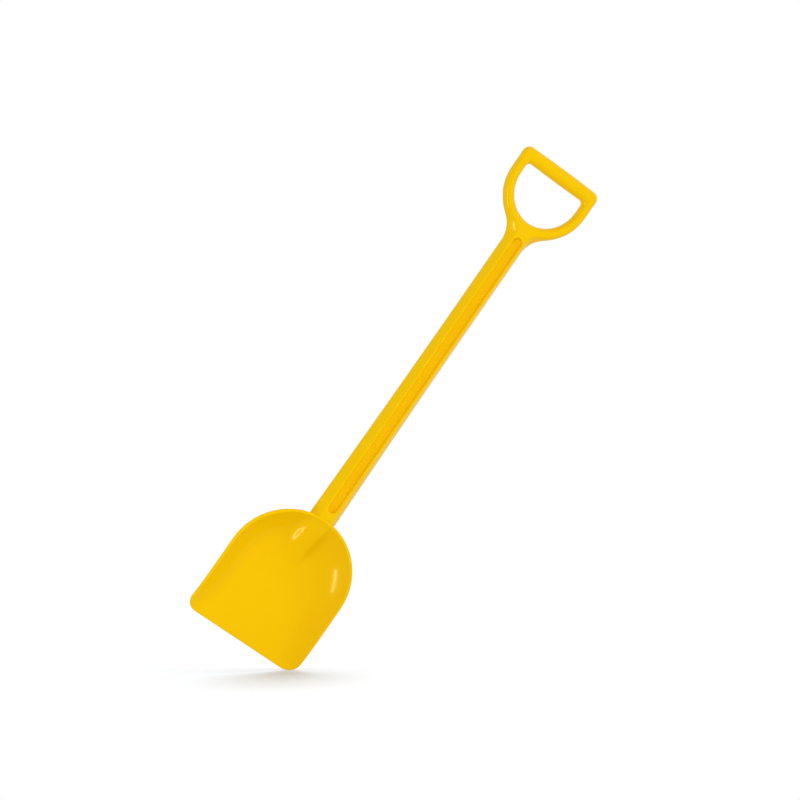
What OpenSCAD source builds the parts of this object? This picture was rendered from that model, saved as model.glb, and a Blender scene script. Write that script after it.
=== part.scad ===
// Sand shovel with a dished blade, a grooved shaft and a D-shaped grip, in moulded plastic.
// It hangs upright from its grip: the cutting edge lies on Z = 0, the shaft runs up Z,
// the dished side faces -Y, and the shovel is the same left and right of X = 0.
// A "front" distance is measured from the middle plane of the shaft towards -Y.

/* [Overall] */
// Length from the cutting edge to the top of the grip bar
total_l = 550; // [480:5:620]

/* [Blade] */
// Width of the blade over its rim
blade_w = 130; // [110:1:150]
// Length of the blade from the cutting edge to the top of its rim
blade_l = 142.6; // [125:0.1:160]
// How far the rounded back of the blade reaches along its length
back_run = 64; // [55:0.5:75]
// Radius of the two corners of the cutting edge
corner_r = 13; // [6:0.5:18]
// Thickness of the blade wall
wall_t = 3; // [2:0.1:4]
// Thickness of the cutting edge
edge_t = 2; // [1.2:0.1:3]
// Length over which the edge thickens to the full wall
edge_taper_l = 12; // [5:1:30]
// How far the cutting edge lies behind the middle plane of the shaft
edge_back = 1; // [0:0.5:4]
// How far the floor drops back for each millimetre up from the cutting edge
floor_slope_share = 0.17; // [0.1:0.01:0.3]
// Length of the flat part of the floor, from the cutting edge
flat_l = 55; // [40:1:65]
// How much further back the floor goes past its flat part
floor_sink = 2; // [1:0.5:6]
// Length over which the floor levels out past its flat part
level_l = 28; // [20:1:40]
// Front distance of the rim along the sides
rim_front = 8.5; // [5:0.5:14]
// Extra front distance of the rim at the shaft
rim_rise = 2.8; // [0:0.1:6]
// Length in which the rim rises from the cutting edge
rim_ease = 13; // [8:0.5:18]
// Width of the lip along the rim
lip_w = 2.5; // [2:0.5:6]
// Run of the side walls between lip and floor, for each millimetre of their height
side_wall_share = 1.9; // [1.2:0.05:2]
// The same for the back wall
back_wall_share = 1.5; // [1:0.05:1.8]

/* [Neck] */
// Front distance of the hump inside the blade where it leaves the rim
hump_front = 11; // [8:0.5:13]
// Length of the hump down the inside of the blade
hump_l = 46; // [36:1:50]
// Width of the hump at the rim, where its sides have fallen by hump_side_fall
hump_top_w = 18; // [16:1:22]
// The same width at its lower end
hump_low_w = 26; // [22:1:30]
// Fall of the hump from its middle to its sides
hump_side_fall = 6.5; // [4:0.5:9]
// Size of the soft corner between the hump and the blade
hump_blend = 3.5; // [1:0.5:5]

/* [Shaft] */
// Width of the shaft where it meets the blade
neck_w = 28.3; // [24:0.1:32]
// Width of the shaft below the grip
shaft_w = 23.6; // [20:0.1:28]
// Depth of the shaft, front to back
shaft_d = 20.2; // [16:0.1:24]
// Width of the front face, between its two ridges
face_w = 13.6; // [12.5:0.1:16]
// Width of the long groove in the front and back face
groove_w = 9.6; // [6:0.1:10]
// Depth of each groove
groove_depth = 4.6; // [2:0.1:5]
// Space between the blade rim and the lower end of the groove
groove_start = 8.1; // [5:0.1:20]
// Space between the upper end of the groove and the joint with the grip
groove_stop = 3.2; // [2:0.1:12]

/* [Grip] */
// Width of the D-shaped grip
grip_w = 90.2; // [84:0.1:110]
// Width of each arm of the grip
arm_w = 10.6; // [9:0.1:14]
// Depth of the arms, front to back
arm_d = 14.4; // [12:0.1:16]
// Thickness of the bar at its middle
bar_d = 15.3; // [14.4:0.1:20]
// Thickness of the bar at its ends
bar_end_d = 14.4; // [12:0.1:15.2]
// Height of the finger opening at its middle
opening_l = 47; // [42:0.5:58]
// Height of the curved part of that opening
opening_arc = 36; // [30:0.5:42]
// Radius of the two upper corners of the opening
opening_r = 4.5; // [2:0.5:8]
// Width of the grip below the opening, where the arms meet
root_w = 12.2; // [11:0.1:16]
// Depth of the grip there
root_d = 16; // [15:0.5:18]
// Solid height between the joint with the shaft and the opening
yoke_l = 14.2; // [13.5:0.1:20]
// Radius of the soft corners between the shaft and the arms
yoke_r = 28.5; // [26:0.5:36]
// Distance from the joint down to where those corners begin
yoke_start = 14; // [8:0.1:15]

/* [Joints] */
// Width of the two tongues that hold the pieces together
tongue_w = 12; // [9:0.5:12]
// Length of the tongue at the blade end of the shaft
lower_tongue_l = 20; // [14:1:22]
// Front distance of the lower tongue at the rim
lower_tongue_front = 5.5; // [4:0.5:6.5]
// Distance of the back of the lower tongue behind the middle plane
lower_tongue_back = 7; // [5:0.5:7.5]
// Thickness of the lower tongue at its tip
lower_tip_t = 2.5; // [2:0.5:4]
// Length of the tongue under the grip
upper_tongue_l = 22; // [14:1:30]
// Thickness of the tongue under the grip
upper_tongue_t = 5.4; // [3:0.1:6]
// Radius of the snap beads on the sides of the tongues
bead_r = 0.8; // [0.5:0.1:1.2]
// Gap around each tongue in its socket
fit_gap = 0.15; // [0.1:0.05:0.3]
// Gap below the tip of each tongue
tip_gap = 0.6; // [0.3:0.1:1.5]

/* [Hidden] */
$fn = 48;
overrun = 1;
plastic = "gold";

half_w = blade_w / 2;
back_z = blade_l - back_run;
rim_r = wall_t / 2;
shaft_hd = shaft_d / 2;
opening_z = total_l - bar_d - opening_l;
joint_z = opening_z - yoke_l;
bar_z = total_l - bar_d / 2;
arc_z = opening_z + opening_arc;
arm_x = grip_w / 2 - arm_w / 2;
floor_low = edge_back + floor_slope_share * flat_l + floor_sink;

// Thickness of the thin slices that the neck's core is drawn between
slice_t = 0.2;
// How far the top of each arm's outer side leans inwards, inside the bar
arm_tuck = 0.8;
// How fast the shaft widens towards the blade
flare_power = 2.5;
// Reach of the soft corners of the cross-section, as shares of its sides
side_soft_share = 0.35;
ridge_soft_share = 0.12;
// Shape of the core inside the neck, as shares of the hump and the wall over it
core_reach_share = 0.86;
core_cover_share = 0.4;
core_sink_share = 0.75;
core_tip_share = 0.5;
core_face_share = 0.5;
core_power = 1.5;
// Where the solid under the grip ends, as a share of the root's width below the opening
yoke_top_share = 0.35;
yoke_depth_share = 0.42;
yoke_face_share = 0.45;

// Small step for slopes, as a share of the blade's width
slope_step_share = 0.002;
// Least run of the wall, and the run that is left beside it, as a share of the lip
least_run_share = 0.25;
slope_step = blade_w * slope_step_share;
least_run = lip_w * least_run_share;
corner_steps = 6;
side_steps = 10;
back_steps = 20;
floor_steps = 3;
wall_steps = 11;
section_steps = 4;
flare_steps = 8;
yoke_steps = 5;
core_steps = 8;
arm_sides = 24;
arm_steps = 28;
corner_rings = 4;
bar_steps = 8;

// Weighted mean of a and b
function mix(a, b, s) = a + (b - a) * s;
// Soft step from 0 to 1
function ease(s) = let (c = min(max(s, 0), 1)) c * c * (3 - 2 * c);
// Larger of a and b, with a soft corner of size k
function soft_max(a, b, k) = let (s = min(max((a - b) / k / 2 + 0.5, 0), 1))
    mix(b, a, s) + k * s * (1 - s);

// Half width of the blade at height z, below its rounded back
function side_x(z) = z >= corner_r ? half_w
    : half_w - corner_r + sqrt(max(0, pow(corner_r, 2) - pow(corner_r - z, 2)));
// Reach of the rounded back from its centre at angle a, which is 90 at the shaft
function back_reach(a) = 1 / sqrt(pow(cos(a) / half_w, 2) + pow(sin(a) / back_run, 2));

// Front distance of the rim at height z
function rim_h(z) = (rim_front + edge_back) * (1 - exp(-z / rim_ease)) - edge_back
    + rim_rise * ease((z - back_z + lip_w) / back_run);
// Front distance of the floor at height z: flat, then levelling out
function floor_h(z) = let (past = min(max(z - flat_l, 0) / level_l, 1))
    -edge_back - floor_slope_share * min(z, flat_l)
    - floor_sink * (1 - pow(1 - past, 2));
// Fall of the wall from lip, s = 0, to floor, s = 1: steepest near the lip
function wall_fall(s) = let (c = min(max(s, 0), 1)) pow(1 - c, 3) * (1 + 3 * c);

// Where the line from the spine through [x, z] meets the outline: [inset of the point, height of the rim]
function inset(x, z) = z <= back_z ? [side_x(z) - abs(x), z]
    : let (a = atan2(z - back_z, abs(x)), reach = back_reach(a))
        [reach - norm([x, z - back_z]), back_z + reach * sin(a)];
// Run of the wall from the rim at height z: longer at the sides than at the back
function wall_run(z) = let (share = mix(side_wall_share, back_wall_share, ease((z - back_z) / back_run)))
    max(share * (rim_h(z) - floor_h(z)), least_run);
function dish_h(x, z) = let (at = inset(x, z))
    mix(floor_h(z), rim_h(at[1]), wall_fall((at[0] - lip_w) / wall_run(at[1])));
// The hump: a round ridge that widens as it runs down from the rim to the floor
function hump_h(x, z) = let (down = (blade_l - lip_w - z) / hump_l)
    let (w = mix(hump_top_w, hump_low_w, min(max(down, 0), 1)))
    hump_front - (hump_front + floor_low) * down
    - hump_side_fall * pow(2 * x / w, 2);
function front_h(x, z) = z > blade_l - lip_w ? dish_h(x, z)
    : soft_max(dish_h(x, z), hump_h(x, z), hump_blend);
// Slope of the dish, which makes a sloping wall as thick as a flat one
function dish_slope(x, z) = norm([
    dish_h(x + slope_step, z) - dish_h(x - slope_step, z),
    dish_h(x, z + slope_step) - dish_h(x, max(z - slope_step, 0))
]) / slope_step / 2;
function thickness(z) = mix(edge_t, wall_t, ease(z / edge_taper_l));
function back_h(x, z) = dish_h(x, z)
    - thickness(z) * sqrt(1 + pow(dish_slope(x, z), 2));

// Stations along the outline, each [spine point, unit direction, reach], as [x, z]
corner_stations = [for (i = [0 : corner_steps])
    let (z = corner_r * (1 - cos(90 * i / corner_steps))) [[0, z], [1, 0], side_x(z)]];
side_stations = [for (i = [1 : side_steps])
    let (z = mix(corner_r, back_z, i / side_steps)) [[0, z], [1, 0], side_x(z)]];
back_stations = [for (i = [1 : back_steps])
    let (s = i / back_steps, a = 90 * (1 - pow(1 - s, 2)) ) [[0, back_z], [cos(a), sin(a)], back_reach(a)]];
half_stations = concat(corner_stations, side_stations, back_stations);
last = len(half_stations) - 1;
// Right side up, then left side down
stations = concat(half_stations, [for (i = [last - 1 : -1 : 0])
    let (s = half_stations[i]) [s[0], [-s[1][0], s[1][1]], s[2]]]);

// Insets from the outline, from the spine out: floor, then wall, then lip
function insets(reach, run) = concat(
    [for (i = [1 : floor_steps]) mix(reach, lip_w + run, i / floor_steps)],
    [for (i = [1 : wall_steps]) lip_w + run * (1 - i / wall_steps)]
);
function station_run(s) = min(wall_run(s[0][1] + s[1][1] * s[2]) + least_run, s[2] - 2 * lip_w);
function point_at(s, inset) = s[0] + s[1] * (s[2] - inset);
function front_point(s, inset) = let (p = point_at(s, inset)) [p[0], -front_h(p[0], p[1]), p[1]];
function back_point(s, inset) = let (p = point_at(s, inset)) [p[0], -back_h(p[0], p[1]), p[1]];
// Round edge of the rim, from front to back
function rim_points(s) = let (p = point_at(s, rim_r), h = dish_h(p[0], p[1]), t = thickness(p[1]) / 2)
    [for (a = [90 : -45 : -90])
        let (q = point_at(s, rim_r * (1 - cos(a)))) [q[0], -h + t * (1 - sin(a)), q[1]]];
function profile(s) = let (steps = insets(s[2], station_run(s)))
    concat(
        [for (d = steps) front_point(s, d)],
        rim_points(s),
        [for (i = [len(steps) - 1 : -1 : 0]) back_point(s, steps[i])]
    );

// Two triangles, or one where two corners are the same point
function strip(a, b, c, d) = [[a, b, d], [b, c, d]];

module blade_shell() {
    rows = [for (s = stations) profile(s)];
    n = len(rows[0]);
    count = len(rows);
    spine_count = corner_steps + side_steps + 1;
    spine_stations = [for (i = [0 : spine_count - 1]) half_stations[i]];
    spine_points = concat(
        [for (s = spine_stations) front_point(s, s[2])],
        [for (s = spine_stations) back_point(s, s[2])]
    );
    function spine(i) = min(i, count - 1 - i, spine_count - 1);
    function at(i, j) = len(spine_points) + i * n + j;
    // Floor next to the spine, which the two sides share
    front_fan = [for (i = [0 : count - 2]) let (a = spine(i), b = spine(i + 1))
        each a == b ? [[at(i + 1, 0), at(i, 0), a]] : strip(b, at(i + 1, 0), at(i, 0), a)];
    back_fan = [for (i = [0 : count - 2]) let (a = spine(i) + spine_count, b = spine(i + 1) + spine_count)
        each a == b ? [[at(i, n - 1), at(i + 1, n - 1), a]] : strip(at(i, n - 1), at(i + 1, n - 1), b, a)];
    skin = [for (i = [0 : count - 2], j = [0 : n - 2])
        each strip(at(i, j + 1), at(i, j), at(i + 1, j), at(i + 1, j + 1))];
    // The flat end of the cutting edge, in strips between front and back
    half_n = floor((n - 1) / 2);
    end_right = [for (j = [0 : half_n - 1])
        each strip(at(0, j), at(0, j + 1), at(0, n - 2 - j), at(0, n - 1 - j))];
    end_left = [for (j = [0 : half_n - 1])
        each strip(at(count - 1, j + 1), at(count - 1, j), at(count - 1, n - 1 - j), at(count - 1, n - 2 - j))];
    middle = concat(
        strip(0, at(0, 0), at(0, n - 1), spine_count),
        strip(at(count - 1, 0), 0, spine_count, at(count - 1, n - 1))
    );
    polyhedron(concat(spine_points, [for (r = rows) each r]),
        concat(front_fan, back_fan, skin, end_right, end_left, middle), convexity = 6);
}

// Soft corner at b between a and c, starting at share s of each side
function soft_corner(a, b, c, s) = [for (i = [0 : section_steps])
    let (t = i / section_steps, p = mix(b, a, s), q = mix(b, c, s))
    mix(mix(p, b, t), mix(b, q, t), t)];
// Cross-section of the shaft, as [x, front distance]: widest half way, narrower at its front and back face
function bar_section(hw, fw, front, back) =
    let (mid = (front + back) / 2, side_x = (hw - fw * side_soft_share / 2) / (1 - side_soft_share / 2))
    let (corners = [[side_x, mid], [fw, back], [-fw, back], [-side_x, mid], [-fw, front], [fw, front]])
    [for (i = [0 : 5]) each soft_corner(corners[(i + 5) % 6], corners[i], corners[(i + 1) % 6],
        i % 3 == 0 ? side_soft_share : ridge_soft_share)];
// That cross-section as a ring at height z, where y is minus the front distance
function ring_at(z, section) = [for (p = section) [p[0], -p[1], z]];
// Solid through closed rings of points, which turn anticlockwise when seen from the last ring
module loft(rings) {
    n = len(rings[0]);
    count = len(rings);
    sides = [for (i = [0 : count - 2], j = [0 : n - 1]) let (k = (j + 1) % n)
        each strip(i * n + j, (i + 1) * n + j, (i + 1) * n + k, i * n + k)];
    ends = [[for (j = [0 : n - 1]) j], [for (j = [n - 1 : -1 : 0]) (count - 1) * n + j]];
    polyhedron([for (r = rings) each r], concat(sides, ends), convexity = 4);
}

// Soft corners under the grip: what they add to the shaft's half width at height z
function yoke_flare(z) = let (up = min(max(z - joint_z + yoke_start, 0), yoke_r))
    yoke_r - sqrt(pow(yoke_r, 2) - pow(up, 2));
// Half width of the shaft at height z, with its flare towards the blade
function shaft_hw(z) = let (up = min((z - blade_l) / (joint_z - blade_l), 1))
    mix(shaft_w, neck_w, pow(1 - up, flare_power)) / 2 + yoke_flare(z);
function shaft_ring(z) = ring_at(z, bar_section(shaft_hw(z), face_w / 2, shaft_hd, -shaft_hd));

// Long slot with round ends in the front face
module groove_cut() {
    low = blade_l + groove_start + groove_w / 2;
    high = joint_z - groove_stop - groove_w / 2;
    translate([0, groove_depth - shaft_hd, 0]) rotate([90, 0, 0]) linear_extrude(groove_depth + overrun) {
        translate([-groove_w / 2, low]) square([groove_w, high - low]);
        translate([0, low]) circle(d = groove_w);
        translate([0, high]) circle(d = groove_w);
    }
}
// Two snap beads across the sides of a tongue
module beads(z, length, grow) {
    for (side = [-1, 1]) translate([side * tongue_w / 2, 0, z])
        rotate([90, 0, 0]) cylinder(r = bead_r + grow, h = length, center = true);
}
// Wedge that fits the blade; grow is the gap around it, deeper the gap below its tip
module lower_tongue(grow = 0, deeper = 0, above = 0) {
    w = tongue_w + 2 * grow;
    back = lower_tongue_back + grow;
    front = lower_tongue_front + grow;
    slope = (lower_tongue_front + lower_tongue_back - lower_tip_t) / lower_tongue_l;
    tip = lower_tongue_l + deeper;
    translate([-w / 2, 0, blade_l]) rotate([90, 0, 90]) linear_extrude(w)
        polygon([[back, above], [-front - slope * above, above], [-front + slope * tip, -tip], [back, -tip]]);
    beads(blade_l - lower_tongue_l / 2, lower_tongue_back, grow);
}
// Flat tongue that hangs from the grip into the shaft
module upper_tongue(grow = 0, deeper = 0, above = 0) {
    w = tongue_w + 2 * grow;
    t = upper_tongue_t + 2 * grow;
    tip = upper_tongue_l + deeper;
    translate([-w / 2, -t / 2, joint_z - tip]) cube([w, t, tip + above]);
    beads(joint_z - upper_tongue_l / 2, upper_tongue_t - 2 * bead_r, grow);
}

// End of the shaft's line inside the blade, from the joint down into the floor
module neck_core() {
    low_z = blade_l - lip_w - hump_l * core_reach_share;
    for (i = [0 : core_steps - 1]) hull() {
        for (s = [i, i + 1] / core_steps) {
            z = mix(blade_l, low_z, s);
            front = min(shaft_hd, hump_h(0, z) - hump_side_fall * core_cover_share);
            back = -mix(shaft_hd, floor_low + wall_t * core_sink_share, pow(s, core_power));
            hw = mix(neck_w, hump_low_w * core_tip_share, ease(s)) / 2;
            fw = min(face_w / 2, hw * core_face_share);
            translate([0, 0, z - slice_t]) linear_extrude(slice_t)
                polygon([for (p = bar_section(hw, fw, front, back)) [p[0], -p[1]]]);
        }
    }
}

module blade() {
    color(plastic) difference() {
        union() {
            blade_shell();
            neck_core();
        }
        lower_tongue(fit_gap, tip_gap, overrun);
    }
}

module shaft() {
    flat_z = joint_z - yoke_start;
    low_steps = [for (i = [0 : flare_steps]) mix(blade_l, flat_z, pow(i / flare_steps, 2))];
    high_steps = [for (i = [1 : yoke_steps]) mix(flat_z, joint_z, i / yoke_steps)];
    color(plastic) difference() {
        union() {
            loft([for (z = concat(low_steps, high_steps)) shaft_ring(z)]);
            lower_tongue();
        }
        groove_cut();
        mirror([0, 1, 0]) groove_cut();
        upper_tongue(fit_gap, tip_gap, overrun);
    }
}

// Ring across an arm at the place p, which heads in the direction d, both as [x, z]
function arm_ring(p, d, hw, hd) = [for (i = [0 : arm_sides - 1]) let (a = 360 * i / arm_sides)
    [p[0] + d[1] * hw * cos(a), hd * sin(a), p[1] - d[0] * hw * cos(a)]];
// Ring at angle a along the curve of the arms, where 270 is the lowest point
function curve_ring(a) =
    let (rise = opening_arc + root_w / 2, low = pow(sin(a), 2))
    let (d = [-arm_x * sin(a), rise * cos(a)])
    arm_ring([arm_x * cos(a), arc_z + rise * sin(a)], d / norm(d),
        mix(arm_w, root_w, low) / 2, mix(arm_d, root_d, low) / 2);
// Ring on the straight top of an arm, which widens inwards to the opening's corner
function top_ring(side, up) =
    let (past = opening_r * (1 - cos(90 * up)))
    let (z = arc_z + opening_l - opening_arc - opening_r * (1 - sin(90 * up)))
    arm_ring([side * (arm_x - past / 2), z], [0, side], (arm_w + past) / 2, arm_d / 2);
module arms() {
    top = [arm_x - (opening_r + arm_tuck) / 2, bar_z];
    top_hw = (arm_w + opening_r - arm_tuck) / 2;
    loft(concat(
        [arm_ring([-top[0], top[1]], [0, -1], top_hw, arm_d / 2)],
        [for (i = [corner_rings : -1 : 0]) top_ring(-1, i / corner_rings)],
        [for (i = [0 : arm_steps]) curve_ring(180 + 180 * i / arm_steps)],
        [for (i = [0 : corner_rings]) top_ring(1, i / corner_rings)],
        [arm_ring(top, [0, 1], top_hw, arm_d / 2)]
    ));
}
// Round bar with domed ends, a little thicker at its middle
module bar() {
    end_r = bar_end_d / 2;
    straight = grip_w / 2 - end_r;
    half_profile = concat(
        [for (i = [0 : bar_steps]) let (s = i / bar_steps) [mix(end_r, bar_d / 2, cos(90 * s)), straight * s]],
        [for (i = [1 : bar_steps]) let (a = 90 * i / bar_steps) [end_r * cos(a), straight + end_r * sin(a)]]
    );
    last_point = len(half_profile) - 1;
    translate([0, 0, bar_z]) rotate([0, 90, 0]) rotate_extrude() polygon(concat(
        [for (i = [last_point : -1 : 1]) [half_profile[i][0], -half_profile[i][1]]],
        half_profile
    ));
}
// Solid between the shaft and the arms
module yoke() {
    top = opening_z - root_w * yoke_top_share;
    loft([for (i = [0 : yoke_steps])
        let (s = i / yoke_steps, z = mix(joint_z, top, s), hw = shaft_hw(z))
        let (hd = mix(shaft_hd, root_d * yoke_depth_share, ease(s)))
        ring_at(z, bar_section(hw, mix(face_w / 2, hw * yoke_face_share, s), hd, -hd))]);
}

module grip() {
    color(plastic) {
        arms();
        bar();
        yoke();
        upper_tongue();
    }
}

blade();
shaft();
grip();
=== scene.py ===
# Sand shovel in glossy yellow plastic: a dished blade, a grooved shaft and a D-shaped grip.
# The cutting edge lies on Z = 0, the shaft runs up Z, and the dished side faces -Y.
# A "front" distance is measured from the middle plane of the shaft towards -Y.
# At the end of a name, L, W, T and R mean length, width, thickness and radius, HW is half a
# width, HD is half a depth, and Z is a height over the cutting edge.
import math

import bmesh
import bpy
from mathutils import Matrix, Vector


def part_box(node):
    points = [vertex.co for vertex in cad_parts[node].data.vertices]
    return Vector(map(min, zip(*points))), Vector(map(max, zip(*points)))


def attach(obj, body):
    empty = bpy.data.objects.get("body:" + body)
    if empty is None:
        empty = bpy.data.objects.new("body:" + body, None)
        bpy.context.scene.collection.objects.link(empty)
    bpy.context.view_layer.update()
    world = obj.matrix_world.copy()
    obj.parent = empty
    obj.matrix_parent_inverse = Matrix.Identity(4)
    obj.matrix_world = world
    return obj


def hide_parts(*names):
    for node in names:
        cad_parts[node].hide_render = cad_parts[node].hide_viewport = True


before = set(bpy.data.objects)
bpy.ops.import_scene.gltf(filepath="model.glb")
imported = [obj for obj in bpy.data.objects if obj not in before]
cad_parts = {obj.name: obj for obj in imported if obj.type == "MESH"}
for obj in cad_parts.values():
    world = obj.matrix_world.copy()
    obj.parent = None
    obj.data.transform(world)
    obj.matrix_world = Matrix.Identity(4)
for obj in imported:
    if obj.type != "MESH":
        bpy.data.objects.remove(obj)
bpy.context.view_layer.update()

MM = 0.001

# Blade, from its CAD box and its walls
BLADE_L = 142.6 * MM
HALF_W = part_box("blade")[1].x
BACK_RUN = 64 * MM
BACK_Z = BLADE_L - BACK_RUN
CORNER_R = 13 * MM
WALL_T = 2.98 * MM
EDGE_T = 2 * MM
EDGE_TAPER_L = 12 * MM
EDGE_BACK = 1 * MM
FLOOR_SLOPE = 0.17
FLAT_L = 55 * MM
FLOOR_SINK = 2 * MM
LEVEL_L = 28 * MM
FLOOR_LOW = EDGE_BACK + FLOOR_SLOPE * FLAT_L + FLOOR_SINK
RIM_FRONT = 8.5 * MM
RIM_RISE = 1.7 * MM
RIM_EASE = 13 * MM
LIP_W = 2.7 * MM
LIP_ROUND_SHARE = 0.55
SIDE_RUN_SHARE = 1.42
BACK_RUN_SHARE = 1.45
CORNER_WIDER = 1.5
CORNER_REACH_SHARE = 1.5
WALL_EASES = 0.5
WALL_CURVE = 0.42
LEAST_RUN = 1 * MM
SLOPE_STEP = HALF_W / 250

# Hump inside the blade, and the neck behind it that takes the shaft
HUMP_FRONT = 9.3 * MM
HUMP_L = 44 * MM
HUMP_FACE_HW = 6 * MM
HUMP_ROUND = 4 * MM
HUMP_FLANK = 1.35
HUMP_BLEND = 7 * MM
NECK_L = 38 * MM
NECK_TIP_W = 13 * MM
NECK_SINK = 2 * MM
NECK_SINK_POWER = 1.5
NECK_PROUD = 0.12 * MM
NECK_STEEP = 6
NECK_RIDGE_BLEND = 0.6 * MM
NECK_SIDE_BLEND = 2 * MM
NECK_BLEND = 3 * MM
LEAST_BLEND = 0.2 * MM

# Shaft
NECK_W = 28.3 * MM
SHAFT_W = 23.6 * MM
SHAFT_HD = 10.1 * MM
FACE_HW = 6.8 * MM
FLARE_POWER = 2.5
GROOVE_HW = 4.8 * MM
GROOVE_DEPTH = 4.6 * MM
GROOVE_START = 8.1 * MM
GROOVE_STOP = 3.2 * MM
GROOVE_RIM_R = 0.8 * MM
GROOVE_FLOOR_R = 2 * MM
GROOVE_DRAFT = 0.4 * MM
SHAFT_SUNK = 3 * MM
RIDGE_SOFT_SHARE = 0.08
SIDE_SOFT_SHARE = 0.35

# Grip
TOP_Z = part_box("grip")[1].z
GRIP_HW = 45.1 * MM
ARM_W = 10.6 * MM
ARM_HD = 7.2 * MM
BAR_R = 7.65 * MM
BAR_END_R = 7.2 * MM
OPENING_L = 47 * MM
OPENING_ARC = 36 * MM
OPENING_R = 4.5 * MM
ROOT_W = 12.2 * MM
ROOT_HD = 8 * MM
YOKE_L = 14.2 * MM
YOKE_R = 28.5 * MM
YOKE_START = 14 * MM
YOKE_ANGLE = 36
BAR_Z = TOP_Z - BAR_R
ARC_Z = TOP_Z - 2 * BAR_R - OPENING_L + OPENING_ARC
ARC_RISE = OPENING_ARC + ROOT_W / 2
ARM_X = GRIP_HW - ARM_W / 2
JOINT_Z = ARC_Z - OPENING_ARC - YOKE_L
JOINT_PROBE_L = 1 * MM
JOINT_KEPT_L = 1 * MM
ROOT_SMOOTH_Z = ARC_Z - 25 * MM
ROOT_SMOOTHINGS = 9
ROOT_SMOOTH_SHARE = 0.5

# Groove: heights of the middles of its two round ends
GROOVE_LOW = BLADE_L + GROOVE_START + GROOVE_HW
GROOVE_HIGH = JOINT_Z - GROOVE_STOP - GROOVE_HW

# How finely the pieces are divided, and how they are welded and shaded
LIP_STEPS = 8
WALL_COLUMNS = 26
FLOOR_COLUMNS = 12
CORNER_ROWS = 7
STRAIGHT_ROWS = 20
BACK_ROWS = 60
FACE_STEPS = 8
RIDGE_STEPS = 5
FLANK_STEPS = 3
SIDE_STEPS = 6
SHAFT_LEVELS = 12
YOKE_LEVELS = 8
GROOVE_ROUND_STEPS = 5
GROOVE_END_STEPS = 12
RING_STEPS = 2 * (RIDGE_STEPS + FLANK_STEPS + SIDE_STEPS)
ARC_STEPS = 14
ARM_STEPS = 5
FILLET_STEPS = 14
BAR_STEPS = 10
YOKE_RINGS = 10
FLOOR_SIDES = 96
WELD_REACH = 2e-6
SHARP_ANGLE = math.radians(40)


def mix(a, b, s):
    return a + (b - a) * s


def clamp(s):
    return min(max(s, 0.0), 1.0)


def ease(s):
    c = clamp(s)
    return c * c * (3 - 2 * c)


def soft_max(a, b, k):
    """The larger of two heights, with a soft change over within k."""
    s = clamp((a - b) / k / 2 + 0.5)
    return mix(b, a, s) + k * s * (1 - s)


def soft_min(a, b, k):
    return -soft_max(-a, -b, k)


def steps(first, last, count):
    return [mix(first, last, i / count) for i in range(count + 1)]


def quarter_turn(count):
    """Angles from 0 to 90 degrees."""
    return [math.radians(a) for a in steps(0, 90, count)]


# Mesh tools

def lay(bm, rows):
    """A grid of faces whose corners lie at these places, row by row."""
    wide, high = len(rows[0]) - 1, len(rows) - 1
    made = bmesh.ops.create_grid(bm, x_segments=wide, y_segments=high, size=1)
    for v in made["verts"]:
        i = round((v.co.x + 1) / 2 * wide)
        j = round((v.co.y + 1) / 2 * high)
        v.co = rows[j][i]


def mirrored(bm, axis):
    """Adds the other half of the mesh and welds the seam."""
    bmesh.ops.mirror(bm, geom=bm.verts[:] + bm.edges[:] + bm.faces[:], matrix=Matrix.Identity(4),
                     merge_dist=0.0, axis=axis)
    bmesh.ops.remove_doubles(bm, verts=bm.verts, dist=WELD_REACH)


def fill(bm, places):
    """One flat face through these places."""
    verts = [bmesh.ops.create_vert(bm, co=p)["vert"][0] for p in places]
    edges = [bm.edges.new((a, b)) for a, b in zip(verts, verts[1:] + verts[:1])]
    bmesh.ops.edgeloop_fill(bm, edges=edges)


def close_ends(bm):
    bmesh.ops.holes_fill(bm, edges=[e for e in bm.edges if e.is_boundary], sides=0)


def piece(bm, name, node):
    """The finished mesh as an object that stands for a CAD node."""
    bmesh.ops.recalc_face_normals(bm, faces=bm.faces)
    mesh = bpy.data.meshes.new(name)
    bm.to_mesh(mesh)
    bm.free()
    mesh.shade_smooth()
    mesh.set_sharp_from_angle(angle=SHARP_ANGLE)
    mesh.materials.append(plastic)
    obj = bpy.data.objects.new(name, mesh)
    bpy.context.scene.collection.objects.link(obj)
    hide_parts(node)
    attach(obj, "root")
    return obj


# Node tools: each adds a node to a tree and returns its output

def joined(tree, operation, first, second):
    node = tree.nodes.new("ShaderNodeMath")
    node.operation = operation
    tree.links.new(first, node.inputs[0])
    tree.links.new(second, node.inputs[1])
    return node.outputs[0]


def mapped(tree, value, numbers, interpolation="LINEAR"):
    """A Map Range node, with these numbers on its sockets."""
    node = tree.nodes.new("ShaderNodeMapRange")
    node.interpolation_type = interpolation
    for socket, number in numbers.items():
        node.inputs[socket].default_value = number
    tree.links.new(value, node.inputs["Value"])
    return node.outputs["Result"]


def mixed_colour(tree, share, first, second):
    node = tree.nodes.new("ShaderNodeMix")
    node.data_type = "RGBA"
    node.inputs["A"].default_value = first
    node.inputs["B"].default_value = second
    tree.links.new(share, node.inputs["Factor"])
    return node.outputs["Result"]


def mixed_shader(tree, share, first, second):
    node = tree.nodes.new("ShaderNodeMixShader")
    tree.links.new(share, node.inputs["Fac"])
    tree.links.new(first, node.inputs[1])
    tree.links.new(second, node.inputs[2])
    return node.outputs[0]


def noise(tree, where, scale, detail):
    node = tree.nodes.new("ShaderNodeTexNoise")
    node.inputs["Scale"].default_value = scale
    node.inputs["Detail"].default_value = detail
    tree.links.new(where, node.inputs["Vector"])
    return node.outputs["Fac"]


# Plastic: two close yellows in a soft cloud, a gloss that varies slightly and a very fine grain

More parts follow.
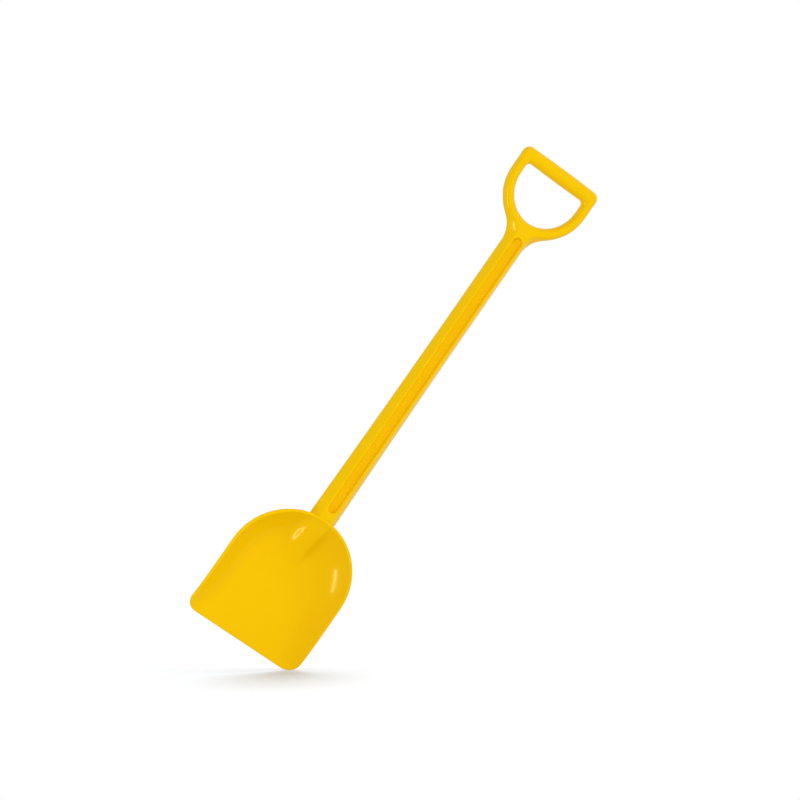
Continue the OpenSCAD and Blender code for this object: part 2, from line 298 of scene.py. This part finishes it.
SPECULAR_LEVEL = 0.12
HIGHLIGHT_TINT = (1.0, 0.85, 0.3, 1)
DEEPER_YELLOW = (0.915, 0.548, 0.0, 1)
LIGHTER_YELLOW = (0.94, 0.578, 0.001, 1)
LEAST_ROUGH = 0.14
MOST_ROUGH = 0.18
GRAIN_STRENGTH = 0.012
GRAIN_DEPTH = 0.5 * MM


def yellow_plastic():
    mat = bpy.data.materials.new("yellow_plastic")
    mat.use_nodes = True
    tree = mat.node_tree
    shader = tree.nodes["Principled BSDF"]
    shader.inputs["Specular IOR Level"].default_value = SPECULAR_LEVEL
    shader.inputs["Specular Tint"].default_value = HIGHLIGHT_TINT
    where = tree.nodes.new("ShaderNodeTexCoord").outputs["Object"]
    cloud = noise(tree, where, scale=14, detail=3)
    colour = mixed_colour(tree, cloud, DEEPER_YELLOW, LIGHTER_YELLOW)
    tree.links.new(colour, shader.inputs["Base Color"])
    rub = noise(tree, where, scale=220, detail=4)
    rough = mapped(tree, rub, {"To Min": LEAST_ROUGH, "To Max": MOST_ROUGH})
    tree.links.new(rough, shader.inputs["Roughness"])
    grain = noise(tree, where, scale=900, detail=2)
    bump = tree.nodes.new("ShaderNodeBump")
    bump.inputs["Strength"].default_value = GRAIN_STRENGTH
    bump.inputs["Distance"].default_value = GRAIN_DEPTH
    tree.links.new(grain, bump.inputs["Height"])
    tree.links.new(bump.outputs["Normal"], shader.inputs["Normal"])
    return mat


plastic = yellow_plastic()


# Blade: its front and back as heights over the plane of the shaft

def side_x(z):
    if z >= CORNER_R:
        return HALF_W
    return HALF_W - CORNER_R + math.sqrt(max(0.0, CORNER_R ** 2 - (CORNER_R - z) ** 2))


def back_reach(angle):
    """Distance from the middle of the round back to its outline."""
    return 1 / math.hypot(math.cos(angle) / HALF_W, math.sin(angle) / BACK_RUN)


def rim_h(z):
    return ((RIM_FRONT + EDGE_BACK) * (1 - math.exp(-z / RIM_EASE)) - EDGE_BACK
            + RIM_RISE * ease((z - BACK_Z + LIP_W) / BACK_RUN))


def floor_h(z):
    past = clamp((z - FLAT_L) / LEVEL_L)
    return -EDGE_BACK - FLOOR_SLOPE * min(z, FLAT_L) - FLOOR_SINK * (1 - (1 - past) ** 2)


def wall_fall(s):
    """Height of the wall from lip, 1, to floor, 0: it curves a little and then eases off."""
    c = min(clamp(s), WALL_EASES)
    over = clamp(s) - c
    fallen = c - WALL_CURVE * c ** 2 / WALL_EASES / 2
    fallen += (1 - WALL_CURVE) * (over - over ** 2 / (1 - WALL_EASES) / 2)
    whole = WALL_EASES * (1 - WALL_CURVE / 2) + (1 - WALL_CURVE) * (1 - WALL_EASES) / 2
    return 1 - fallen / whole


def inset(x, z):
    """How far a point lies inside the outline, and the height of the outline there."""
    if z <= BACK_Z:
        return side_x(z) - abs(x), z
    angle = math.atan2(z - BACK_Z, abs(x))
    reach = back_reach(angle)
    return reach - math.hypot(x, z - BACK_Z), BACK_Z + reach * math.sin(angle)


def wall_run(rim_z):
    """Width of the wall below the lip: a share of its height, and wider near the front corners."""
    share = mix(SIDE_RUN_SHARE, BACK_RUN_SHARE, ease((rim_z - BACK_Z) / BACK_RUN))
    share *= 1 + CORNER_WIDER * math.exp(-rim_z / RIM_EASE / CORNER_REACH_SHARE)
    return max(share * (rim_h(rim_z) - floor_h(rim_z)), LEAST_RUN)


def dish_h(x, z):
    inside, rim_z = inset(x, z)
    top, low = rim_h(rim_z), floor_h(z)
    return mix(low, top, wall_fall((inside - LIP_W) / wall_run(rim_z)))


def hump_h(x, z):
    """The end of the shaft's line in the dish: level across its middle, with sloping sides."""
    down = max(BLADE_L - LIP_W - z, 0) / HUMP_L
    beside = max(abs(x) - HUMP_FACE_HW, 0)
    return (HUMP_FRONT - (HUMP_FRONT + FLOOR_LOW) * down
            - HUMP_FLANK * (math.hypot(beside, HUMP_ROUND) - HUMP_ROUND))


def front_h(x, z):
    return soft_max(dish_h(x, z), hump_h(x, z), HUMP_BLEND)


def thickness(z):
    return mix(EDGE_T, WALL_T, ease(z / EDGE_TAPER_L))


def shell_back_h(x, z):
    """Back of the wall, whose thickness is measured square to its slope."""
    d = SLOPE_STEP
    across = (dish_h(x + d, z) - dish_h(x - d, z)) / 2 / d
    along = (dish_h(x, z + d) - dish_h(x, max(z - d, 0))) / 2 / d
    return dish_h(x, z) - thickness(z) * math.sqrt(1 + across ** 2 + along ** 2)


def neck_back_h(x, z):
    """Back of the neck: the shaft's own section, which narrows as it sinks into the wall."""
    s = clamp((BLADE_L - z) / NECK_L)
    deep = mix(SHAFT_HD, FLOOR_LOW + WALL_T - NECK_SINK, s ** NECK_SINK_POWER) + NECK_PROUD
    half = mix(NECK_W, NECK_TIP_W, ease(s)) / 2 + NECK_PROUD
    face = min(FACE_HW, half / 2)
    flank = deep * (half - abs(x)) / (half - face)
    side = NECK_STEEP * (half - abs(x))
    return -soft_min(soft_min(deep, flank, NECK_RIDGE_BLEND), side, NECK_SIDE_BLEND)


def back_h(x, z):
    shell = shell_back_h(x, z)
    if z < BLADE_L - NECK_L or abs(x) > NECK_W:
        return shell
    faded = NECK_BLEND * clamp((z - BLADE_L + NECK_L) / NECK_L) + LEAST_BLEND
    return soft_min(shell, neck_back_h(x, z), faded)


def edge_distance(x, z):
    """Distance to the outline, as far as the round of the rim needs it."""
    out, down = abs(x) - (HALF_W - CORNER_R), CORNER_R - z
    if out > 0 and down > 0:
        return CORNER_R - math.hypot(out, down)
    return min(z, inset(x, z)[0])


def layer_point(x, z, front):
    """A point of the blade's front or back skin, which meet in the round rim."""
    height = front_h(x, z) if front else back_h(x, z)
    share = LIP_ROUND_SHARE if front else 1 - LIP_ROUND_SHARE
    r = thickness(z) * share
    d = max(edge_distance(x, z), 0)
    if d < r:
        seam = front_h(x, z) - thickness(z) * LIP_ROUND_SHARE
        height = mix(seam, height, math.sqrt(max(0.0, 1 - (1 - d / r) ** 2)))
    return Vector((x, -height, z))


ROUND_SHARES = [1 - math.cos(a) for a in quarter_turn(LIP_STEPS)]
RIM_INSETS = [WALL_T * LIP_ROUND_SHARE * s for s in ROUND_SHARES]
EDGE_ROWS = [EDGE_T * LIP_ROUND_SHARE * s for s in ROUND_SHARES]
SIDE_ROWS = (EDGE_ROWS + steps(EDGE_ROWS[-1], CORNER_R, CORNER_ROWS)[1:]
             + steps(CORNER_R, BACK_Z, STRAIGHT_ROWS)[1:])


def row_insets(reach, rim_z):
    """Distances from the outline at which a row crosses the lip, the wall and the floor."""
    run = min(wall_run(rim_z), reach - 2 * LIP_W)
    lip = RIM_INSETS + [LIP_W]
    wall = steps(LIP_W, LIP_W + run, WALL_COLUMNS)[1:]
    return lip + wall + steps(LIP_W + run, reach, FLOOR_COLUMNS)[1:]


def round_corner(x, z):
    """Draws the square corner of the grid in to the round corner of the cutting edge."""
    out, down = (x - HALF_W + CORNER_R) / CORNER_R, (CORNER_R - z) / CORNER_R
    if out <= 0 or down <= 0:
        return x, z
    return (HALF_W - CORNER_R + CORNER_R * out * math.sqrt(1 - down ** 2 / 2),
            CORNER_R - CORNER_R * down * math.sqrt(1 - out ** 2 / 2))


def blade_rows():
    """Rows of (x, z), from the outline in to the middle: up the straight sides and round the back."""
    rows = []
    for z in SIDE_ROWS:
        rows.append([round_corner(HALF_W - d, z) for d in row_insets(HALF_W, z)])
    for a in quarter_turn(BACK_ROWS)[1:]:
        reach = back_reach(a)
        rows.append([((reach - d) * math.cos(a), BACK_Z + (reach - d) * math.sin(a))
                     for d in row_insets(reach, BACK_Z + reach * math.sin(a))])
    return rows


def make_blade():
    rows = blade_rows()
    bm = bmesh.new()
    for front in (True, False):
        lay(bm, [[layer_point(x, z, front) for x, z in row] for row in rows])
    mirrored(bm, "X")
    return piece(bm, "shovel_blade", "blade")


# Shaft: its section is widest half way and narrower at its front and back face

def curve(a, b, c, count):
    """Points of the soft corner at b, from a to c."""
    return [a.lerp(b, t).lerp(b.lerp(c, t), t) for t in steps(0, 1, count)]


def section(half, face, deep):
    """Front right quarter of the section, from the middle of the face to the side, as (x, y)."""
    side = (half - face * SIDE_SOFT_SHARE / 2) / (1 - SIDE_SOFT_SHARE / 2)
    ridge, wide = Vector((face, -deep)), Vector((side, 0))
    flat_end = ridge.lerp(Vector((-face, -deep)), RIDGE_SOFT_SHARE)
    flank_start, flank_end = ridge.lerp(wide, RIDGE_SOFT_SHARE), wide.lerp(ridge, SIDE_SOFT_SHARE)
    behind = Vector((flank_end.x, -flank_end.y))
    points = [Vector((flat_end.x * s, -deep)) for s in steps(0, 1, FACE_STEPS)]
    points += curve(flat_end, ridge, flank_start, RIDGE_STEPS)[1:]
    points += [flank_start.lerp(flank_end, s) for s in steps(0, 1, FLANK_STEPS)][1:]
    points += curve(flank_end, wide, behind, 2 * SIDE_STEPS)[1:SIDE_STEPS + 1]
    return points


def yoke_flare(z):
    up = min(max(z - JOINT_Z + YOKE_START, 0), YOKE_R)
    return YOKE_R - math.sqrt(YOKE_R ** 2 - up ** 2)


def shaft_half(z):
    up = clamp((z - BLADE_L) / (JOINT_Z - BLADE_L))
    return mix(SHAFT_W, NECK_W, (1 - up) ** FLARE_POWER) / 2 + yoke_flare(z)


def shaft_ring(z):
    return [Vector((p.x, p.y, z)) for p in section(shaft_half(z), FACE_HW, SHAFT_HD)]


def groove_profile():
    """How far each ring of the groove lies outside its half width, and its depth."""
    turns = quarter_turn(GROOVE_ROUND_STEPS)
    rim = [(GROOVE_RIM_R * (1 - math.sin(a)), GROOVE_RIM_R * (1 - math.cos(a))) for a in turns]
    low = [(-GROOVE_DRAFT - GROOVE_FLOOR_R * (1 - math.cos(a)),
            GROOVE_DEPTH - GROOVE_FLOOR_R * (1 - math.sin(a))) for a in turns]
    return rim + low


def groove_ring(grow, deep):
    """Right half of a ring of the groove, from its lower end round to its upper end."""
    r = GROOVE_HW + grow
    y = -SHAFT_HD + deep
    turns = quarter_turn(GROOVE_END_STEPS)
    return ([Vector((r * math.sin(a), y, GROOVE_LOW - r * math.cos(a))) for a in turns]
            + [Vector((r * math.cos(a), y, GROOVE_HIGH + r * math.sin(a))) for a in turns])


def shaft_levels():
    """Heights of the rings: closer together at the blade, where the shaft flares, and at the yoke."""
    flat_z = JOINT_Z - YOKE_START
    levels = [BLADE_L - SHAFT_SUNK]
    levels += [mix(BLADE_L, flat_z, s ** 2) for s in steps(0, 1, SHAFT_LEVELS)]
    return levels + steps(flat_z, JOINT_Z, YOKE_LEVELS)[1:]


def make_shaft():
    rings = [shaft_ring(z) for z in shaft_levels()]
    groove = [groove_ring(grow, deep) for grow, deep in groove_profile()]
    bm = bmesh.new()
    lay(bm, [ring[FACE_STEPS:] for ring in rings])
    lay(bm, groove)
    face_edge = [ring[FACE_STEPS] for ring in rings]
    fill(bm, rings[0][:FACE_STEPS] + face_edge + rings[-1][:FACE_STEPS][::-1] + groove[0][::-1])
    fill(bm, groove[-1])
    mirrored(bm, "X")
    mirrored(bm, "Y")
    close_ends(bm)
    piece(bm, "shovel_shaft", "shaft")


# Grip: half rings round a D, and a yoke that flows out of its lowest part

FRONT_TURN = 0.5


def bar_radius(x):
    s = clamp(abs(x) / (GRIP_HW - BAR_END_R))
    return mix(BAR_END_R, BAR_R, math.cos(s * math.pi / 2))


def arc_station(angle):
    """Inner and outer point and half depth of the D at an angle of its curved part."""
    low = math.sin(angle) ** 2
    middle = Vector((ARM_X * math.cos(angle), 0, ARC_Z + ARC_RISE * math.sin(angle)))
    onward = Vector((-ARM_X * math.sin(angle), 0, ARC_RISE * math.cos(angle))).normalized()
    out = Vector((onward.z, 0, -onward.x)) * mix(ARM_W, ROOT_W, low) / 2
    return middle - out, middle + out, mix(ARM_HD, ROOT_HD, low)


def corner_stations():
    """From the top of the curve round the upper corner and along the bar to its middle."""
    inner_x = ARM_X - ARM_W / 2
    fillet_x = inner_x - OPENING_R
    fillet_z = BAR_Z - bar_radius(fillet_x) - OPENING_R
    dome_x = GRIP_HW - BAR_END_R
    made = []
    for s in steps(0, 1, ARM_STEPS)[1:-1]:
        made.append((Vector((inner_x, 0, mix(ARC_Z, fillet_z, s))),
                     Vector((GRIP_HW, 0, mix(ARC_Z, BAR_Z, s))), ARM_HD))
    for a in quarter_turn(FILLET_STEPS):
        made.append((Vector((fillet_x + OPENING_R * math.cos(a), 0, fillet_z + OPENING_R * math.sin(a))),
                     Vector((dome_x + BAR_END_R * math.cos(a), 0, BAR_Z + BAR_END_R * math.sin(a))),
                     BAR_END_R))
    for s in steps(1, 0, BAR_STEPS)[1:]:
        near, far = fillet_x * s, dome_x * s
        made.append((Vector((near, 0, BAR_Z - bar_radius(near))),
                     Vector((far, 0, BAR_Z + bar_radius(far))), bar_radius((near + far) / 2)))
    return made


def half_ring(station, turn):
    """Point at share turn of the front half ring: 0 is outside, 1 is inside the D."""
    inner, outer, deep = station
    a = math.pi * turn
    middle = (inner + outer) / 2
    return middle + (outer - inner) / 2 * math.cos(a) + Vector((0, -deep * math.sin(a), 0))


def ring_part(station, first_turn, count):
    """Points of the half ring from a turn on, as far inside as count steps reach."""
    return [half_ring(station, first_turn + i / RING_STEPS) for i in range(count + 1)]


def flow(first, leaving, last, arriving, t):
    """Point at share t of the curve between two points that leaves and arrives in these directions."""
    span = (first - last).length
    return (first * (2 * t ** 3 - 3 * t ** 2 + 1) + leaving.normalized() * span * (t ** 3 - 2 * t ** 2 + t)
            + last * (-2 * t ** 3 + 3 * t ** 2) + arriving.normalized() * span * (t ** 3 - t ** 2))


def yoke_grid(low_stations):
    """Rings from the D's front line and its last low ring down to the joint with the shaft."""
    last, before = low_stations[-1], low_stations[-2]
    half = RING_STEPS // 2
    turns = [FRONT_TURN * (1 - k / half) for k in range(1, half + 1)]
    start = [half_ring(s, FRONT_TURN) for s in low_stations]
    start += [half_ring(last, turn) for turn in turns]
    leaving = [half_ring(s, FRONT_TURN - 1 / RING_STEPS) - half_ring(s, FRONT_TURN) for s in low_stations]
    leaving += [half_ring(before, turn) - half_ring(last, turn) for turn in turns]
    joint, below = shaft_ring(JOINT_Z), shaft_ring(JOINT_Z - JOINT_PROBE_L)
    arriving = [lower - upper for lower, upper in zip(below, joint)]
    return [[flow(*ends, t) for ends in zip(start, leaving, joint, arriving)]
            for t in steps(0, 1, YOKE_RINGS)]


def make_grip():
    low = [arc_station(math.radians(a - 90)) for a in steps(0, YOKE_ANGLE, FACE_STEPS)]
    upper = [arc_station(math.radians(a)) for a in steps(YOKE_ANGLE - 90, 0, ARC_STEPS)]
    bm = bmesh.new()
    lay(bm, [ring_part(station, 0, RING_STEPS) for station in upper + corner_stations()])
    lay(bm, [ring_part(station, FRONT_TURN, RING_STEPS // 2) for station in low])
    lay(bm, yoke_grid(low))
    mirrored(bm, "X")
    mirrored(bm, "Y")
    root = [v for v in bm.verts if JOINT_Z + JOINT_KEPT_L < v.co.z < ROOT_SMOOTH_Z]
    for _ in range(ROOT_SMOOTHINGS):
        bmesh.ops.smooth_vert(bm, verts=root, factor=ROOT_SMOOTH_SHARE, use_axis_x=True,
                              use_axis_y=True, use_axis_z=True)
    close_ends(bm)
    piece(bm, "shovel_grip", "grip")


blade = make_blade()
make_shaft()
make_grip()


# Picture: the camera looks level at the leaning shovel, from its left

PIXEL = 0.96 * MM
PICTURE = 800
LEAN = math.radians(34.71)
YAW = math.radians(18)
PITCH = math.radians(0.9)
CAMERA_DISTANCE = 3.45
CAMERA_SEES = 50
SENSOR = 36
CENTRE_UP = 289.3 * PIXEL
CENTRE_RIGHT = -3.9 * PIXEL

ahead = Vector((math.sin(YAW) * math.cos(PITCH), math.cos(YAW) * math.cos(PITCH), math.sin(PITCH)))
along = (Vector((0, 0, 1)) - ahead * ahead.z).normalized()
across = ahead.cross(along)
up = along * math.cos(LEAN) - across * math.sin(LEAN)
right = along * math.sin(LEAN) + across * math.cos(LEAN)
centre = along * CENTRE_UP + across * CENTRE_RIGHT


def turned(x_axis, y_axis, place):
    """Matrix of an object at place, with its X and Y axes along these."""
    made = Matrix((x_axis, y_axis, x_axis.cross(y_axis))).transposed().to_4x4()
    made.translation = place
    return made


def make_camera():
    data = bpy.data.cameras.new("camera")
    data.sensor_width = SENSOR
    data.lens = SENSOR * CAMERA_DISTANCE / (PIXEL * PICTURE)
    data.clip_end = CAMERA_SEES
    camera = bpy.data.objects.new("camera", data)
    bpy.context.scene.collection.objects.link(camera)
    camera.matrix_world = turned(right, up, centre - ahead * CAMERA_DISTANCE)
    bpy.context.scene.camera = camera


# Lamps and the white room round the shovel

LIGHT_DISTANCE = 4.0
SOFT_SIZE = 1.8
GLINT_W = 0.05
GLINT_L = 2.2
GLINT_LEAN = 15
ROOM_LIGHT = 0.65
WHITE = (1, 1, 1, 1)


def area_light(name, azimuth, height, power, width=SOFT_SIZE, length=SOFT_SIZE, lean=0):
    """A lamp at so many degrees to the right of the camera and above it, turned to the shovel."""
    data = bpy.data.lights.new(name, "AREA")
    data.energy = power
    data.shape = "RECTANGLE"
    data.size = width
    data.size_y = length
    lamp = bpy.data.objects.new(name, data)
    a, h = math.radians(azimuth), math.radians(height)
    away = right * math.sin(a) * math.cos(h) + up * math.sin(h) - ahead * math.cos(a) * math.cos(h)
    side = up.cross(away).normalized()
    place = turned(side, away.cross(side), centre + away * LIGHT_DISTANCE)
    lamp.matrix_world = place @ Matrix.Rotation(math.radians(-lean), 4, "Z")
    bpy.context.scene.collection.objects.link(lamp)
    return lamp


def make_lights():
    """Broad soft lamps that leave no glints, and a narrow one at the left that makes them."""
    soft = (area_light("key", azimuth=15, height=10, power=36),
            area_light("side", azimuth=75, height=10, power=32),
            area_light("top", azimuth=0, height=85, power=9),
            area_light("left", azimuth=-45, height=10, power=6),
            area_light("low_left", azimuth=-45, height=-30, power=22))
    for lamp in soft:
        lamp.visible_glossy = False
    glint = area_light("glint", azimuth=-54, height=-8, power=85,
                       width=GLINT_W, length=GLINT_L, lean=GLINT_LEAN)
    glint.visible_diffuse = False


def background(tree, strength):
    node = tree.nodes.new("ShaderNodeBackground")
    node.inputs["Color"].default_value = WHITE
    node.inputs["Strength"].default_value = strength
    return node.outputs[0]


def make_world():
    """A white room: full white to the camera and in reflections, dimmer as light on surfaces."""
    world = bpy.data.worlds.new("studio")
    bpy.context.scene.world = world
    world.use_nodes = True
    tree = world.node_tree
    tree.nodes.clear()
    rays = tree.nodes.new("ShaderNodeLightPath").outputs
    mirrored_ray = joined(tree, "MAXIMUM", rays["Is Glossy Ray"], rays["Is Transmission Ray"])
    seen = joined(tree, "MAXIMUM", rays["Is Camera Ray"], mirrored_ray)
    both = mixed_shader(tree, seen, background(tree, ROOM_LIGHT), background(tree, 1))
    out = tree.nodes.new("ShaderNodeOutputWorld")
    tree.links.new(both, out.inputs["Surface"])


# Floor: it shows only the shade under the corner on which the shovel stands in the picture, partly real
# shadow and partly painted shade where its glow is lowered

FLOOR_TILT = math.radians(7)
FLOOR_R = 0.4
FLOOR_BOUNCE = (0.85, 0.85, 0.85, 1)
FLOOR_SEEN = (0.5, 0.53, 0.57, 1)
FLOOR_GLOW = 0.62
SHADE_GLOW_SHARE = 0.2
SHADE_DEEPEST = 0.55
SHADE_REACH = 0.13
EDGE_SOFT = 0.018
FADE_SHIFT = 0.09
FADE_START = 0.1
FADE_END = 0.21


def floor_glow(tree, camera_ray):
    """Light that the camera alone sees, lowered by ambient occlusion close under the shovel: painted shade.
    """
    open_sky = tree.nodes.new("ShaderNodeAmbientOcclusion")
    open_sky.inputs["Distance"].default_value = SHADE_REACH
    # Painted shade: the glow falls to a fifth where little open sky is near
    glow_with_painted_shade = mapped(tree, open_sky.outputs["AO"], {"From Min": SHADE_DEEPEST,
                                                 "To Min": FLOOR_GLOW * SHADE_GLOW_SHARE,
                                                 "To Max": FLOOR_GLOW})
    glow = tree.nodes.new("ShaderNodeEmission")
    tree.links.new(joined(tree, "MULTIPLY", camera_ray, glow_with_painted_shade), glow.inputs["Strength"])
    return glow.outputs[0]


def floor_hidden(tree):
    """1 where the floor is clear: far from the corner, behind it, and seen from below."""
    where = tree.nodes.new("ShaderNodeTexCoord").outputs["Object"]
    nearer = tree.nodes.new("ShaderNodeVectorMath")
    nearer.operation = "ADD"
    nearer.inputs[1].default_value = (0, FADE_SHIFT, 0)
    tree.links.new(where, nearer.inputs[0])
    far = tree.nodes.new("ShaderNodeVectorMath")
    far.operation = "LENGTH"
    tree.links.new(nearer.outputs["Vector"], far.inputs[0])
    fade = mapped(tree, far.outputs["Value"], {"From Min": FADE_START, "From Max": FADE_END}, "SMOOTHSTEP")
    parts = tree.nodes.new("ShaderNodeSeparateXYZ")
    tree.links.new(where, parts.inputs[0])
    behind = mapped(tree, parts.outputs["Y"], {"From Min": -EDGE_SOFT, "From Max": EDGE_SOFT}, "SMOOTHSTEP")
    below = tree.nodes.new("ShaderNodeNewGeometry").outputs["Backfacing"]
    return joined(tree, "MAXIMUM", joined(tree, "MAXIMUM", fade, behind), below)


def white_floor():
    mat = bpy.data.materials.new("white_floor")
    mat.use_nodes = True
    tree = mat.node_tree
    tree.nodes.clear()
    camera_ray = tree.nodes.new("ShaderNodeLightPath").outputs["Is Camera Ray"]
    lit = tree.nodes.new("ShaderNodeBsdfDiffuse")
    tree.links.new(mixed_colour(tree, camera_ray, FLOOR_BOUNCE, FLOOR_SEEN), lit.inputs["Color"])
    both = tree.nodes.new("ShaderNodeAddShader")
    tree.links.new(lit.outputs[0], both.inputs[0])
    tree.links.new(floor_glow(tree, camera_ray), both.inputs[1])
    clear = tree.nodes.new("ShaderNodeBsdfTransparent")
    out = tree.nodes.new("ShaderNodeOutputMaterial")
    surface = mixed_shader(tree, floor_hidden(tree), both.outputs[0], clear.outputs[0])
    tree.links.new(surface, out.inputs["Surface"])
    return mat


def make_floor(standing):
    """A round floor at the lowest corner, level across the picture and seen a little from above."""
    deep = ahead * math.cos(FLOOR_TILT) + up * math.sin(FLOOR_TILT)
    upward = right.cross(deep)
    contact = min((v.co.copy() for v in standing.data.vertices), key=lambda p: p.dot(upward))
    bm = bmesh.new()
    bmesh.ops.create_circle(bm, cap_ends=True, segments=FLOOR_SIDES, radius=FLOOR_R)
    mesh = bpy.data.meshes.new("floor")
    bm.to_mesh(mesh)
    bm.free()
    floor = bpy.data.objects.new("floor", mesh)
    bpy.context.scene.collection.objects.link(floor)
    floor.matrix_world = turned(right, deep, contact)
    mesh.materials.append(white_floor())


make_camera()
make_lights()
make_world()
make_floor(blade)

bpy.context.scene.view_settings.view_transform = "Standard"
